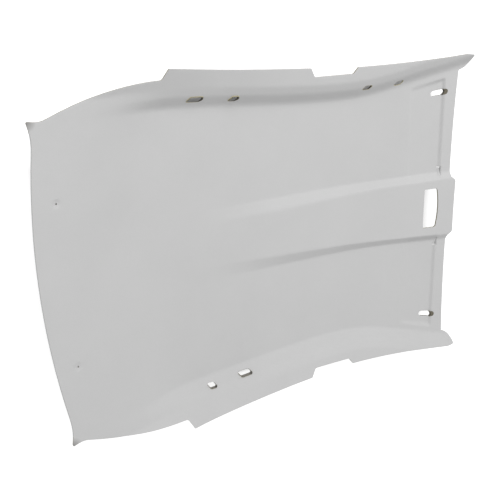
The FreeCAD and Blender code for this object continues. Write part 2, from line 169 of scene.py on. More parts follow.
# How the rings are told apart by length and place, in metres
OUTLINE_LENGTH = 1.0
FIXING_REACH = (0.2, 0.3)
FIXING_FRONT = -0.6
HANDLE_HALF = 0.46
HANDLE_FRONT = 0.6
VISOR_HALF = 0.3
SLIT_SIZE = 0.02

# Tips of the rear ears, how far the painted shade on the cover reaches around them, and its
# strength
EAR_TIP = (-0.775, 0.505)
EAR_FADE = 0.038
EAR_TIP_SHADE_SHARE = 0.9

# Knit of the cover: rows of stitches across for one along, and how the stitches lean
COURSE_SHARE = 0.8
STITCH_LEAN = 2.2
STITCH_BUMP = 0.6

# Tones of the cover: share of the random patches, share of the painted shade in the hollows
# between stitches, and share of the colour at the darkest
PATCH_SHARE = 0.3
STITCH_SHADE_SHARE = 0.4
COVER_DARKEST = 0.86

# Layers under the cover: fibres to a metre, share of the colour at the darkest, fibre height
FOAM_TEXTURE = (900.0, 0.6, 0.0002)
BOARD_TEXTURE = (500.0, 0.5, 0.0003)
BACKING_TEXTURE = (260.0, 0.7, 0.0003)
FIBRES_TO_PATCH = 8
STRAND_SHARPNESS = 9.0

# Edge of the sheet from the cabin side down: (share of the reach inwards, share of the depth)
EDGE_REACH = 0.0009
EDGE_PROFILE = (
    (1.0, 0.0), (0.55, 0.015), (0.2, 0.05), (0.0, 0.11), (0.0, 0.14),
    (0.35, 0.145), (0.25, 0.5), (0.05, 0.51), (0.05, 0.93), (0.4, 0.95), (0.4, 1.0),
)
COVER, FOAM, BOARD, BACKING = range(4)
EDGE_ZONES = (COVER,) * 5 + (FOAM,) * 2 + (BOARD,) * 2 + (BACKING,)
VISOR_ZONES = (COVER,) * 5 + (BOARD,) * 4 + (BACKING,)
EDGE_SECTION = (EDGE_REACH, EDGE_PROFILE, EDGE_ZONES)
VISOR_SECTION = (EDGE_REACH, EDGE_PROFILE, VISOR_ZONES)

# The cover is rolled around the rear edge
REAR_REACH = 0.0035
REAR_PROFILE = (
    (1.0, 0.0), (0.7, 0.03), (0.45, 0.1), (0.25, 0.2), (0.12, 0.32), (0.03, 0.48),
    (0.0, 0.6), (0.0, 0.7), (0.05, 0.82), (0.15, 0.93), (0.3, 1.0),
)
REAR_HALF = 0.485
REAR_FRONT = -0.70
REAR_FADE = 0.03

# Edge of a handle opening, where the knife leaves the foam as a ragged slope
HANDLE_REACH = 0.0026
HANDLE_PROFILE = (
    (1.0, 0.0), (0.93, 0.03), (0.9, 0.07), (0.86, 0.08), (0.45, 0.36),
    (0.12, 0.5), (0.0, 0.54), (0.0, 0.93), (0.2, 0.95), (0.2, 1.0),
)
HANDLE_ZONES = (COVER,) * 3 + (FOAM,) * 3 + (BOARD,) * 2 + (BACKING,)
HANDLE_SECTION = (HANDLE_REACH, HANDLE_PROFILE, HANDLE_ZONES)

# Edge of a clip slit, where the board stands out under the cover
SLIT_REACH = 0.0016
SLIT_PROFILE = (
    (1.0, 0.0), (0.5, 0.02), (0.15, 0.06), (0.0, 0.12), (0.0, 0.3),
    (-0.2, 0.36), (-1.0, 0.4), (-1.1, 0.45), (-1.1, 0.95), (-1.0, 1.0),
)
SLIT_ZONES = (COVER,) * 8 + (BACKING,)
SLIT_SECTION = (SLIT_REACH, SLIT_PROFILE, SLIT_ZONES)

# Front end of a visor slot, where the board stands out as a ledge
BOARD_RING = 6
BOARD_REACH = 0.013
BOARD_START = 0.010
BOARD_RUN = 0.016


def ease(share):
    """Goes from 0 to 1 as share does, level at both ends."""
    share = min(max(share, 0.0), 1.0)
    return share * share * (3 - 2 * share)


def turn_up(distance, run_in, angle):
    """Height of a line that curves up over its run-in and goes on straight at an angle."""
    distance = max(distance, 0.0)
    curved = min(distance, run_in)
    slope = math.tan(math.radians(angle))
    return slope * (curved * curved / (2 * run_in) + distance - curved)


def between(place, points):
    """Height at a place on a line of straight pieces, level past its ends."""
    for (x0, z0), (x1, z1) in zip(points, points[1:]):
        if place <= x1:
            return z0 + (z1 - z0) * max(place - x0, 0.0) / (x1 - x0)
    return points[-1][1]


def centre_height(along):
    """Height of the roof field on the centre line, above its lowest part."""
    rear_share = 1 - ease((along + REAR_SWEEP_LEAD) / (REAR_SWEEP_LEAD + REAR_SWEEP_LENGTH))
    past = along - PANEL_LENGTH + FRONT_SWEEP_START
    return REAR_RISE * rear_share + turn_up(past, FRONT_SWEEP_RUN, FRONT_SWEEP_ANGLE)


def bowed_place(along, half):
    """Place along the panel of a cross line, at a distance from the centre line."""
    swell = REAR_BOW + (TRAY_CORNER_BOW - REAR_BOW) * ease(along / TRAY_CORNER_PLACE)
    rear = swell * (1 - ease((along - TRAY_CORNER_PLACE) / TRAY_CORNER_FADE))
    front_share = ease((along - PANEL_LENGTH + FRONT_BOW_START) / FRONT_BOW_RUN)
    front = FRONT_BOW * front_share * (half / FRONT_BOW_HALF) ** 2
    return along + rear * (half / REAR_BOW_HALF) ** 2 - front


def crease_half(along):
    """Distance of the crease between field and side wall from the centre line."""
    waist = ease((along - WAIST_START) / WAIST_LENGTH)
    flare = turn_up(along - PANEL_LENGTH + FLARE_START, FLARE_RUN_IN, FLARE_ANGLE)
    return CREASE_HALF_REAR + (CREASE_HALF_WAIST - CREASE_HALF_REAR) * waist + flare


def channel_half(along):
    """Half width of the centre channel."""
    share = min(max((along - CHANNEL_START) / (PANEL_LENGTH - CHANNEL_START), 0.0), 1.0)
    return CHANNEL_HALF_START + (CHANNEL_HALF_FRONT - CHANNEL_HALF_START) * share


def half_section(along, detail):
    """Corners of one cross line from the centre line outwards, as (distance, rise)."""
    rim_foot = PANEL_LENGTH - RIM_WIDTH
    channel = channel_half(along)
    crease = crease_half(along)
    lift = CHANNEL_RISE * ease((along - CHANNEL_START) / CHANNEL_RUN_IN)
    depth = POCKET_DEPTH * ease((along - rim_foot + POCKET_LENGTH) / POCKET_RUN_IN)
    step = ease((along - rim_foot + detail.step) / (2 * detail.step))
    pocket = (POCKET_DEPTH + RIM_RISE) * step - depth
    ledge = RIM_RISE * ease((along - rim_foot + POCKET_LENGTH) / POCKET_LENGTH)
    fallen = ease((along - PANEL_LENGTH + WALL_FALL_START) / WALL_FALL_RUN)
    wall = WALL_RISE * ease((along - WALL_START) / WALL_RUN_IN)
    wall -= (WALL_RISE - WALL_RISE_FRONT) * fallen
    twist = ease((along - FLANGE_TWIST_START) / FLANGE_TWIST_RUN)
    angle = FLANGE_ANGLE_REAR + (FLANGE_ANGLE_FRONT - FLANGE_ANGLE_REAR) * twist
    slope = math.tan(math.radians(angle))
    widening = (PANEL_LENGTH - along) / (PANEL_LENGTH - CHANNEL_START)
    shoulder = detail.shoulder + detail.widening * min(max(widening, 0.0), 1.0)
    foot = wall * detail.crease / WALL_WIDTH
    brow = wall * detail.brow / WALL_WIDTH
    top = crease + WALL_WIDTH
    return (
        (0.0, lift),
        (channel - shoulder, lift),
        (channel + shoulder, pocket),
        (crease - LEDGE_FOOT, pocket),
        (crease - LEDGE_BROW, ledge),
        (crease - detail.crease, ledge),
        (crease + detail.crease, ledge + foot),
        (top - detail.brow, ledge + wall - brow),
        (top + detail.brow, ledge + wall),
        (top + FLANGE_OVERHANG, ledge + wall + slope * FLANGE_OVERHANG),
    )


def knots_along(detail):
    """Knots of the surface along the panel, from rear to front."""
    rim_foot = PANEL_LENGTH - RIM_WIDTH
    pocket_start = rim_foot - POCKET_LENGTH
    knots = [share * PANEL_LENGTH for share in FIELD_KNOTS]
    knots += [pocket_start + offset for offset in detail.pocket_knots]
    knots += [rim_foot + offset for offset in detail.rim_knots]
    knots.append(PANEL_LENGTH + NET_OVERHANG)
    return knots


def knots_across(detail):
    """Knots of the surface across the panel, for the widths at the front channel."""
    channel = CHANNEL_HALF_FRONT
    crease = CREASE_HALF_REAR
    ledge_start = crease - CREASE_KNOT_LEAD
    count = round(CREASE_KNOT_SPAN / detail.crease_step) + 1
    half = [channel + offset for offset in detail.channel_knots]
    half += [channel + share * (crease - channel) for share in ACROSS_KNOTS]
    half += [ledge_start + i * detail.crease_step for i in range(count)]
    half.append(crease + WALL_WIDTH + FLANGE_OVERHANG)
    return [-place for place in reversed(half)] + [0.0] + half


def pole_places(knots):
    """Places of the poles: each is the mean of as many knots as the degree."""
    ends = SURFACE_DEGREE
    padded = [knots[0]] * ends + knots + [knots[-1]] * ends
    count = len(padded) - SURFACE_DEGREE - 1
    return [sum(padded[i + 1:i + 1 + SURFACE_DEGREE]) / SURFACE_DEGREE for i in range(count)]


def column_half(place, along):
    """Distance of a column of the net from the centre line, where the widths change."""
    drawn = (0.0, CHANNEL_HALF_FRONT, CREASE_HALF_REAR, CREASE_HALF_REAR + WALL_WIDTH)
    crease = crease_half(along)
    real = (0.0, channel_half(along), crease, crease + WALL_WIDTH)
    half = abs(place)
    if half > drawn[-1]:
        return math.copysign(half - drawn[-1] + real[-1], place)
    return math.copysign(between(half, list(zip(drawn, real))), place)


def cabin_net(detail):
    """Poles of the cabin face in metres, in the frame of the panel."""
    net = []
    for along in pole_places(knots_along(detail)):
        section = half_section(along, detail)
        row = []
        for place in pole_places(knots_across(detail)):
            half = column_half(place, along)
            crown = half * half / (2 * CROWN_RADIUS)
            height = centre_height(along) + crown + between(abs(half), section)
            row.append((bowed_place(along, half) - BASE_MIDDLE[0], half, height - BASE_MIDDLE[1]))
        net.append(row)
    return np.array(net) * MM


def offset_net(net, distance):
    """The same net moved square to itself, away from the cabin."""
    ahead = np.concatenate((net[1:], net[-1:])) - np.concatenate((net[:1], net[:-1]))
    across = np.concatenate((net[:, 1:], net[:, -1:]), axis=1)
    across -= np.concatenate((net[:, :1], net[:, :-1]), axis=1)
    normal = np.cross(ahead, across)
    return net - distance * normal / np.linalg.norm(normal, axis=2, keepdims=True)


def basis(knots, places):
    """Weights of every pole at each place, and their slopes."""
    ends = SURFACE_DEGREE
    padded = np.array([knots[0]] * ends + list(knots) + [knots[-1]] * ends, float)
    places = np.clip(places, knots[0], knots[-1] - 1e-9)
    weights = ((padded[:-1] <= places[:, None]) & (places[:, None] < padded[1:])).astype(float)
    lower = None
    for degree in range(1, SURFACE_DEGREE + 1):
        lower = weights
        left = padded[degree:-1] - padded[:-degree - 1]
        right = padded[degree + 1:] - padded[1:-degree]
        rising = np.divide(1.0, left, out=np.zeros_like(left), where=left > 0)
        falling = np.divide(1.0, right, out=np.zeros_like(right), where=right > 0)
        weights = (places[:, None] - padded[:-degree - 1]) * rising * lower[:, :-1]
        weights += (padded[degree + 1:] - places[:, None]) * falling * lower[:, 1:]
    slopes = SURFACE_DEGREE * (rising * lower[:, :-1] - falling * lower[:, 1:])
    return weights, slopes


class PressedFace:
    """One smooth face of the panel over its net of poles."""

    def __init__(self, net, detail):
        self.net = net
        self.knots = (knots_along(detail), knots_across(detail))

    def blend(self, rows, columns):
        """Sum of the poles under weights along and across."""
        lines = (rows @ self.net.reshape(len(self.net), -1)).reshape(len(rows), -1, 3)
        return (columns[:, :, None] * lines).sum(axis=1)

    def points(self, places):
        """Points of the face at places of its net, in metres."""
        rows, _ = basis(self.knots[0], places[:, 0])
        columns, _ = basis(self.knots[1], places[:, 1])
        return self.blend(rows, columns)

    def places_over(self, plan):
        """Places of the net that lie at plan points, by a few steps towards each."""
        places = plan[:, :2] / MM + np.array((BASE_MIDDLE[0], 0.0))
        for _ in range(PLACE_STEPS):
            rows, row_slopes = basis(self.knots[0], places[:, 0])
            columns, column_slopes = basis(self.knots[1], places[:, 1])
            along = self.blend(row_slopes, columns)
            across = self.blend(rows, column_slopes)
            miss = plan[:, :2] - self.blend(rows, columns)[:, :2]
            size = along[:, 0] * across[:, 1] - along[:, 1] * across[:, 0]
            places[:, 0] += (miss[:, 0] * across[:, 1] - miss[:, 1] * across[:, 0]) / size
            places[:, 1] += (miss[:, 1] * along[:, 0] - miss[:, 0] * along[:, 1]) / size
        return places


def loops_of(faces):
    """Closed edge loops around a set of triangles, as lists of point numbers."""
    edges = set()
    for a, b, c in faces:
        edges.update(((a, b), (b, c), (c, a)))
    following = {a: b for a, b in edges if (b, a) not in edges}
    loops = []
    while following:
        start, here = following.popitem()
        loop = [start]
        while here != start:
            loop.append(here)
            here = following.pop(here)
        loops.append(loop)
    return loops


def even_loop(points, step):
    """The same closed line with its points about one step apart."""
    ahead = np.roll(points, -1, axis=0)
    even = []
    for start, end in zip(points, ahead):
        count = max(1, round(np.linalg.norm(end - start) / step))
        even += [start + (end - start) * i / count for i in range(count)]
    kept = [even[0]]
    for point in even[1:]:
        if np.linalg.norm(point - kept[-1]) > step / 4:
            kept.append(point)
    if np.linalg.norm(kept[0] - kept[-1]) < step / 4:
        kept.pop()
    return np.array(kept)


def cabin_loops(node, cabin):
    """Trimmed edge and opening edges of the cabin face, read from the node's own mesh."""
    mesh = node.data
    points = np.zeros(len(mesh.vertices) * 3)
    mesh.vertices.foreach_get("co", points)
    points = points.reshape(-1, 3)
    rounded = np.round(points, 6)
    _, first, number = np.unique(rounded, axis=0, return_index=True, return_inverse=True)
    number = number.ravel()
    points = points[first]
    mesh.calc_loop_triangles()
    faces = np.zeros(len(mesh.loop_triangles) * 3, int)
    mesh.loop_triangles.foreach_get("vertices", faces)
    faces = number[faces].reshape(-1, 3)
    near = np.abs(cabin.points(cabin.places_over(points))[:, 2] - points[:, 2]) < ON_FACE
    corner = points[faces]
    square = np.cross(corner[:, 1] - corner[:, 0], corner[:, 2] - corner[:, 0])
    faces = faces[near[faces].all(axis=1) & (square[:, 2] > 0)]
    loops = [points[loop] for loop in loops_of(faces.tolist())]
    return sorted(loops, key=lambda loop: -np.ptp(loop[:, 0]))


def inside(points, ring):
    """Which points lie within a closed ring, both flat."""
    odd = np.zeros(len(points), bool)
    for (x0, y0), (x1, y1) in zip(ring, np.roll(ring, -1, axis=0)):
        across = (y0 > points[:, 1]) != (y1 > points[:, 1])
        at = x0 + (points[:, 1] - y0) * (x1 - x0) / (y1 - y0 if y1 != y0 else 1.0)
        odd ^= across & (points[:, 0] < at)
    return odd


def grid_lines(low, high, step, fine_step, fine):
    """Places of grid lines, closer together within the fine stretches."""
    lines = [low + step / 2]
    while lines[-1] < high:
        near = any(start <= lines[-1] < end for start, end in fine)
        lines.append(lines[-1] + (fine_step if near else step))
    return lines[:-1]


def fine_stretches():
    """Stretches of the cabin face, along and across, that bend tightly, in metres."""
    rim_foot = PANEL_LENGTH - RIM_WIDTH
    pocket = rim_foot - POCKET_LENGTH
    channel = CHANNEL_HALF_FRONT
    crease = CREASE_HALF_REAR
    along = [(pocket, FINE_POCKET), (rim_foot, FINE_RIM)]
    across = [(channel, FINE_CHANNEL), (crease, FINE_CREASE)]
    across += [(-place, (-end, -start)) for place, (start, end) in across]
    return [
        [((place + start) * MM, (place + end) * MM) for place, (start, end) in bends]
        for bends in (along, across)
    ]


def trimmed_net(face, rings, grid, fine_grid=None):
    """Triangles of a face within its first ring and outside the others, as (points, faces)."""
    flat = [face.places_over(ring) * MM for ring in rings]
    low = flat[0].min(axis=0)
    high = flat[0].max(axis=0)
    fine = fine_stretches() if fine_grid else ((), ())
    fine_grid = fine_grid or grid
    lines = [grid_lines(low[i], high[i], grid[i], fine_grid[i], fine[i]) for i in (0, 1)]
    field = np.stack(np.meshgrid(*lines, indexing="ij"), axis=2).reshape(-1, 2)
    field = field[inside(field, flat[0])]
    border = np.concatenate(flat)
    for ring in flat[1:]:
        field = field[~inside(field, ring)]
    tree = KDTree(len(border))
    for i, (x, y) in enumerate(border):
        tree.insert((x, y, 0.0), i)
    tree.balance()
    reach = BORDER_GAP * min(grid)
    field = field[[tree.find((x, y, 0.0))[2] > reach for x, y in field]]
    edges = []
    start = 0
    for ring in flat:
        count = len(ring)
        edges += [(start + i, start + (i + 1) % count) for i in range(count)]
        start += count
    plan = [Vector(place) for place in np.concatenate((border, field))]
    made, _, faces, _, _, _ = delaunay_2d_cdt(plan, edges, [], 1, PLAN_GAP)
    made = np.array(made)
    faces = np.array(faces)
    middle = made[faces].mean(axis=1)
    keep = np.ones(len(faces), bool)
    for ring in flat[1:]:
        keep &= ~inside(middle, ring)
    return face.points(made / MM), faces[keep]


def square_to(face, points):
    """Unit normals of a face under plan points, towards the cabin."""
    places = face.places_over(points)
    rows, row_slopes = basis(face.knots[0], places[:, 0])
    columns, column_slopes = basis(face.knots[1], places[:, 1])
    normal = np.cross(face.blend(row_slopes, columns), face.blend(rows, column_slopes))
    return normal / np.linalg.norm(normal, axis=1, keepdims=True)


def below(face, points, way):
    """Where lines from the points along one way meet a face."""
    gone = np.zeros(len(points))
    for _ in range(1 if way[2] == -1.0 else SLANT_STEPS):
        here = points + way * gone[:, None]
        gap = here[:, 2] - face.points(face.places_over(here))[:, 2]
        gone -= gap / way[2]
    return points + way * gone[:, None]


def inward(ring, way):
    """Unit steps from a ring into the sheet, level with the ring."""
    along = np.roll(ring, -1, axis=0) - np.roll(ring, 1, axis=0)
    step = np.cross(-way, along)
    return step / np.linalg.norm(step, axis=1, keepdims=True)


class Skin:
    """Gathers the points and faces of one mesh, with a material for each face."""

    def __init__(self):
        self.points = []
        self.faces = []
        self.zones = []
        self.count = 0

    def add(self, points, faces, zones):
        """Adds points and the faces between them, with a zone for all or for each."""
        self.points.append(points)
        self.faces += [tuple(int(i) + self.count for i in face) for face in faces]
        self.zones += [zones] * len(faces) if isinstance(zones, int) else zones
        self.count += len(points)

    def band(self, upper, lower, zones):
        """Adds a strip of faces between two rings of as many points."""
        count = len(upper)
        faces = [(i, count + i, count + (i + 1) % count, (i + 1) % count) for i in range(count)]
        self.add(np.concatenate((upper, lower)), faces, zones)

    def mesh(self, name):
        """The gathered faces as one mesh, welded, smooth but for its edges."""
        made = bpy.data.meshes.new(name)
        made.from_pydata(np.concatenate(self.points).tolist(), [], self.faces)
        made.polygons.foreach_set("material_index", self.zones)
        work = bmesh.new()
        work.from_mesh(made)
        bmesh.ops.remove_doubles(work, verts=work.verts, dist=WELD)
        work.to_mesh(made)
        work.free()
        made.polygons.foreach_set("use_smooth", [True] * len(made.polygons))
        made.set_sharp_from_angle(angle=SHARP_ANGLE)
        return made


def dish_rings(ring, face):
    """Rings of a pressed dish from its rim to the bore, and the way of the bore."""
    centre = ring.mean(axis=0)
    up = square_to(face, centre[None, :])[0]
    reach = ring - centre
    height = reach @ up
    flat = reach - height[:, None] * up
    flat *= (FIXING_DISH / 2 * MM) / np.linalg.norm(flat, axis=1, keepdims=True)
    bore = FIXING_BORE / FIXING_DISH
    rings = [ring]
    for share in np.linspace(1.0, bore, DISH_RINGS)[1:]:
        sunk = (height * share * share)[:, None] - FIXING_DISH_DEPTH * MM * (1 - share * share)
        rings.append(centre + flat * share + sunk * up)
    return rings, -up


def rear_share(ring):
    """How far each point of the outline belongs to the rear edge, from 0 to 1."""
    ahead = (REAR_FRONT - ring[:, 0]) / REAR_FADE
    beside = (REAR_HALF - np.abs(ring[:, 1])) / REAR_FADE
    return np.clip(np.minimum(ahead, beside), 0.0, 1.0)[:, None]


def slot_ledge(ring):
    """Steps back of the board's edge at the front end of a visor slot."""
    ahead = ring[:, 0] - ring[:, 0].mean() - BOARD_START
    steps = np.zeros_like(ring)
    steps[:, 0] = -BOARD_REACH * np.clip(ahead / BOARD_RUN, 0.0, 1.0)
    return steps


def edge_bands(skin, ring, way, faces, section, rear=0.0):
    """Layered edge of the sheet: cover, foam, board and backing."""
    cabin, roof = faces
    reach, profile, zones = section
    widest = reach + (REAR_REACH - reach) * rear
    rolled = np.broadcast_to(rear, (len(ring), 1))[:, 0]
    inner = ring + inward(ring, way) * widest
    tops = (ring, below(cabin, inner, way))
    feet = (below(roof, ring, way), below(roof, inner, way))
    rings = []
    for (inset, depth), (rear_inset, rear_depth) in zip(profile, REAR_PROFILE):
        share = (inset * reach * (1 - rear) + rear_inset * REAR_REACH * rear) / widest
        deep = depth + (rear_depth - depth) * rear
        top, foot = (line[0] + (line[1] - line[0]) * share for line in (tops, feet))
        rings.append(top + (foot - top) * deep)
    if section is VISOR_SECTION:
        rings[BOARD_RING:] = [one + slot_ledge(ring) for one in rings[BOARD_RING:]]
    for upper, lower, zone in zip(rings, rings[1:], zones):
        skin.band(upper, lower, [COVER if share > 0.5 else zone for share in rolled])
    return rings[0], rings[-1]


def dish_bands(skin, ring, faces):
    """Pressed dish around a fixing hole, and the bore through the board."""
    cabin, roof = faces
    rings, way = dish_rings(ring, cabin)
    for upper, lower in zip(rings, rings[1:]):
        skin.band(upper, lower, COVER)
    foot = below(roof, rings[-1], way)
    skin.band(rings[-1], foot, BOARD)
    return ring, foot


def ring_bands(skin, ring, faces):
    """Edge of the sheet at a ring of the cabin face, by the place of the ring."""
    centre = ring.mean(axis=0)
    beside = abs(centre[1])
    ahead = centre[0]
    down = np.array((0.0, 0.0, -1.0))
    if np.ptp(ring[:, 0]) > OUTLINE_LENGTH:
        return edge_bands(skin, ring, down, faces, EDGE_SECTION, rear_share(ring))
    if FIXING_REACH[0] < beside < FIXING_REACH[1] and ahead < FIXING_FRONT:
        return dish_bands(skin, ring, faces)
    if beside > HANDLE_HALF and ahead < HANDLE_FRONT:
        way = -square_to(faces[0], centre[None, :])[0]
        section = HANDLE_SECTION if centre[1] > 0 else EDGE_SECTION
        return edge_bands(skin, ring, way, faces, section)
    section = EDGE_SECTION
    if np.ptp(ring[:, 0]) < SLIT_SIZE and ahead > HANDLE_FRONT:
        section = SLIT_SECTION
    elif beside > VISOR_HALF and ahead > HANDLE_FRONT:
        section = VISOR_SECTION
    return edge_bands(skin, ring, down, faces, section)


def panel_mesh(node):
    """The whole panel: cabin face, roof face and the layered edges between them."""
    net = cabin_net(SOLID_DETAIL)
    solid = PressedFace(net, SOLID_DETAIL)
    cabin = PressedFace(cabin_net(SKIN_DETAIL), SKIN_DETAIL)
    roof = PressedFace(offset_net(net, SHEET_THICKNESS * MM), SOLID_DETAIL)
    skin = Skin()
    cabin_rings = []
    roof_rings = []
    for loop in cabin_loops(node, solid):
        step = LOOP_STEP if np.ptp(loop[:, 0]) > OUTLINE_LENGTH else HOLE_STEP
        ring = even_loop(loop, step)
        ring[:, 2] = cabin.points(cabin.places_over(ring))[:, 2]
        top, bottom = ring_bands(skin, ring, (cabin, roof))
        cabin_rings.append(top)
        roof_rings.append(bottom)
    skin.add(*trimmed_net(cabin, cabin_rings, CABIN_GRID, CABIN_FINE), COVER)
    points, faces = trimmed_net(roof, roof_rings, ROOF_GRID)
    skin.add(points, faces[:, ::-1], BACKING)
    return skin.mesh("headliner_panel_skin")


class FabricSettings(bpy.types.PropertyGroup):
    """Knitted cover of the cabin face."""

    fabric_colour: bpy.props.FloatVectorProperty(
        name="Fabric colour", description="Colour of the knitted cover",
        default=(0.56, 0.56, 0.56), subtype="COLOR", min=0.0, max=1.0,
    )
    # Painted shade: near-black colour painted on the cover at the tips of the rear ears
    ear_tip_shade_colour: bpy.props.FloatVectorProperty(
        name="Tip colour", description="Colour that shows through at the tips of the rear ears",
        default=(0.10, 0.09, 0.075), subtype="COLOR", min=0.0, max=1.0,
    )
    knit_pitch: bpy.props.FloatProperty(
        name="Knit pitch", description="Distance between two rows of stitches",
        default=0.0014, min=0.0002, unit="LENGTH",
    )
    knit_height: bpy.props.FloatProperty(
        name="Knit height", description="Height of a stitch above the ground of the knit",
        default=0.00022, min=0.0, unit="LENGTH",
    )


class EdgeSettings(bpy.types.PropertyGroup):
    """Layers that show at the cut edges and on the roof side."""

    foam_colour: bpy.props.FloatVectorProperty(
        name="Foam colour", description="Colour of the foam layer under the cover",
        default=(0.62, 0.57, 0.38), subtype="COLOR", min=0.0, max=1.0,
    )
    board_colour: bpy.props.FloatVectorProperty(
        name="Board colour", description="Colour of the moulded fibre board",
        default=(0.22, 0.20, 0.155), subtype="COLOR", min=0.0, max=1.0,
    )
    backing_colour: bpy.props.FloatVectorProperty(
        name="Backing colour", description="Colour of the fleece on the roof side",
        default=(0.30, 0.285, 0.26), subtype="COLOR", min=0.0, max=1.0,
    )


class StageSettings(bpy.types.PropertyGroup):
    """Floor and light of the picture."""

    floor_colour: bpy.props.FloatVectorProperty(
        name="Floor colour", description="Colour of the plain floor",
        default=(0.5, 0.5, 0.5), subtype="COLOR", min=0.0, max=1.0,
    )
    floor_glow: bpy.props.FloatProperty(
        name="Floor glow",
        description="How much whiter the floor looks than it is lit, with 1 for white",
        default=0.8, min=0.0, max=1.0,
    )
    sky_strength: bpy.props.FloatProperty(
        name="Sky strength", description="Strength of the even light from all sides",
        default=0.70, min=0.0,
    )
    window_power: bpy.props.FloatProperty(
        name="Window power", description="Power of the broad soft light over the left side",
        default=64.0, min=0.0, unit="POWER",
    )


def new_group(name, inputs, outputs):
    """An empty node group with its sockets, its input node and its output node."""
    group = bpy.data.node_groups.new(name, "ShaderNodeTree")
    for socket, value in inputs:
        made = group.interface.new_socket(socket, in_out="INPUT", socket_type="NodeSocketFloat")
        made.default_value = value
    for socket in outputs:
        group.interface.new_socket(socket, in_out="OUTPUT", socket_type="NodeSocketFloat")
    return group, group.nodes.new("NodeGroupInput"), group.nodes.new("NodeGroupOutput")


def object_place(tree):
    """Output with the place on the panel, in metres."""
    return tree.nodes.new("ShaderNodeTexCoord").outputs["Object"]


def math_node(tree, operation, first, second=None):
    """Output of a sum, product or other operation on sockets or numbers."""
    node = tree.nodes.new("ShaderNodeMath")
    node.operation = operation
    for socket, value in zip(node.inputs, (first, second)):
        if isinstance(value, bpy.types.NodeSocket):
            tree.links.new(value, socket)
        elif value is not None:
            socket.default_value = value
    return node.outputs[0]


def seen_directly(tree):
    """Mask of what the camera sees, itself or in a mirror or a glass."""
    paths = tree.nodes.new("ShaderNodeLightPath")
    seen = paths.outputs["Is Camera Ray"]
    for name in ("Is Glossy Ray", "Is Transmission Ray"):
        seen = math_node(tree, "MAXIMUM", seen, paths.outputs[name])
    return seen


def cloud_group():
    """Soft uneven patches from 0 to 1 of a chosen size, as a mask."""
    inputs = (("Scale", 10.0), ("Contrast", 1.0))
    group, start, end = new_group("headliner_clouds", inputs, ("Mask",))
    noise = group.nodes.new("ShaderNodeTexNoise")
    noise.inputs["Detail"].default_value = 4.0
    noise.inputs["Roughness"].default_value = 0.6
    group.links.new(object_place(group), noise.inputs["Vector"])
    group.links.new(start.outputs["Scale"], noise.inputs["Scale"])
    centred = math_node(group, "SUBTRACT", noise.outputs["Fac"], 0.5)
    spread = math_node(group, "MULTIPLY", centred, start.outputs["Contrast"])
    level = math_node(group, "ADD", spread, 0.5)
    group.links.new(level, end.inputs["Mask"])
    return group


def fibre_group():
    """Matted fibres, as a height and as a mask of the strands that lie on top."""
    group, start, end = new_group("headliner_fibres", (("Scale", 600.0),), ("Height", "Strands"))
    warp = group.nodes.new("ShaderNodeTexNoise")
    warp.inputs["Detail"].default_value = 3.0
    warp.inputs["Distortion"].default_value = 2.5
    group.links.new(object_place(group), warp.inputs["Vector"])
    group.links.new(start.outputs["Scale"], warp.inputs["Scale"])
    away = math_node(group, "ABSOLUTE", math_node(group, "SUBTRACT", warp.outputs["Fac"], 0.5))
    thinned = math_node(group, "MULTIPLY", away, STRAND_SHARPNESS)
    strands = math_node(group, "SUBTRACT", 1.0, thinned)
    strands.node.use_clamp = True
    group.links.new(strands, end.inputs["Strands"])
    group.links.new(math_node(group, "ADD", strands, warp.outputs["Fac"]), end.inputs["Height"])
    return group


def use_group(tree, group, **values):
    """A node of a group with some of its inputs set."""
    node = tree.nodes.new("ShaderNodeGroup")
    node.node_tree = group
    for name, value in values.items():
        node.inputs[name].default_value = value
    return node


def new_material(name, roughness, specular=0.1):
    """A matt material, with its node tree and its shader."""
    material = bpy.data.materials.new(name)
    material.use_nodes = True
    shader = material.node_tree.nodes["Principled BSDF"]
    shader.inputs["Roughness"].default_value = roughness
    shader.inputs["Specular IOR Level"].default_value = specular
    return material, material.node_tree, shader


def shaded(tree, colour, mask, darkest):
    """Colour that goes from darkest times itself to itself as the mask does."""
    mix = tree.nodes.new("ShaderNodeMix")
    mix.data_type = "RGBA"
    mix.inputs["A"].default_value = (*(part * darkest for part in colour), 1.0)
    mix.inputs["B"].default_value = (*colour, 1.0)
    tree.links.new(mask, mix.inputs["Factor"])
    return mix.outputs["Result"]


def bump(tree, shader, height, distance, strength=1.0):
    """Lets a height in shares of a distance in metres turn the shader's normal."""
    node = tree.nodes.new("ShaderNodeBump")
    node.inputs["Strength"].default_value = strength
    node.inputs["Distance"].default_value = distance
    tree.links.new(height, node.inputs["Height"])
    tree.links.new(node.outputs["Normal"], shader.inputs["Normal"])


def stitches(tree, pitch):
    """Rows of knitted stitches, as a height from 0 to 1."""
    split = tree.nodes.new("ShaderNodeSeparateXYZ")
    tree.links.new(object_place(tree), split.inputs["Vector"])
    turn = 2 * math.pi / pitch
    wales = math_node(tree, "SINE", math_node(tree, "MULTIPLY", split.outputs["Y"], turn))
    ribs = math_node(tree, "ABSOLUTE", wales)
    lean = math_node(tree, "MULTIPLY", ribs, STITCH_LEAN)
    along = math_node(tree, "MULTIPLY", split.outputs["X"], turn * COURSE_SHARE)
    courses = math_node(tree, "SINE", math_node(tree, "ADD", along, lean))
    both = math_node(tree, "ADD", ribs, math_node(tree, "ABSOLUTE", courses))
    return math_node(tree, "MULTIPLY", both, 0.5)


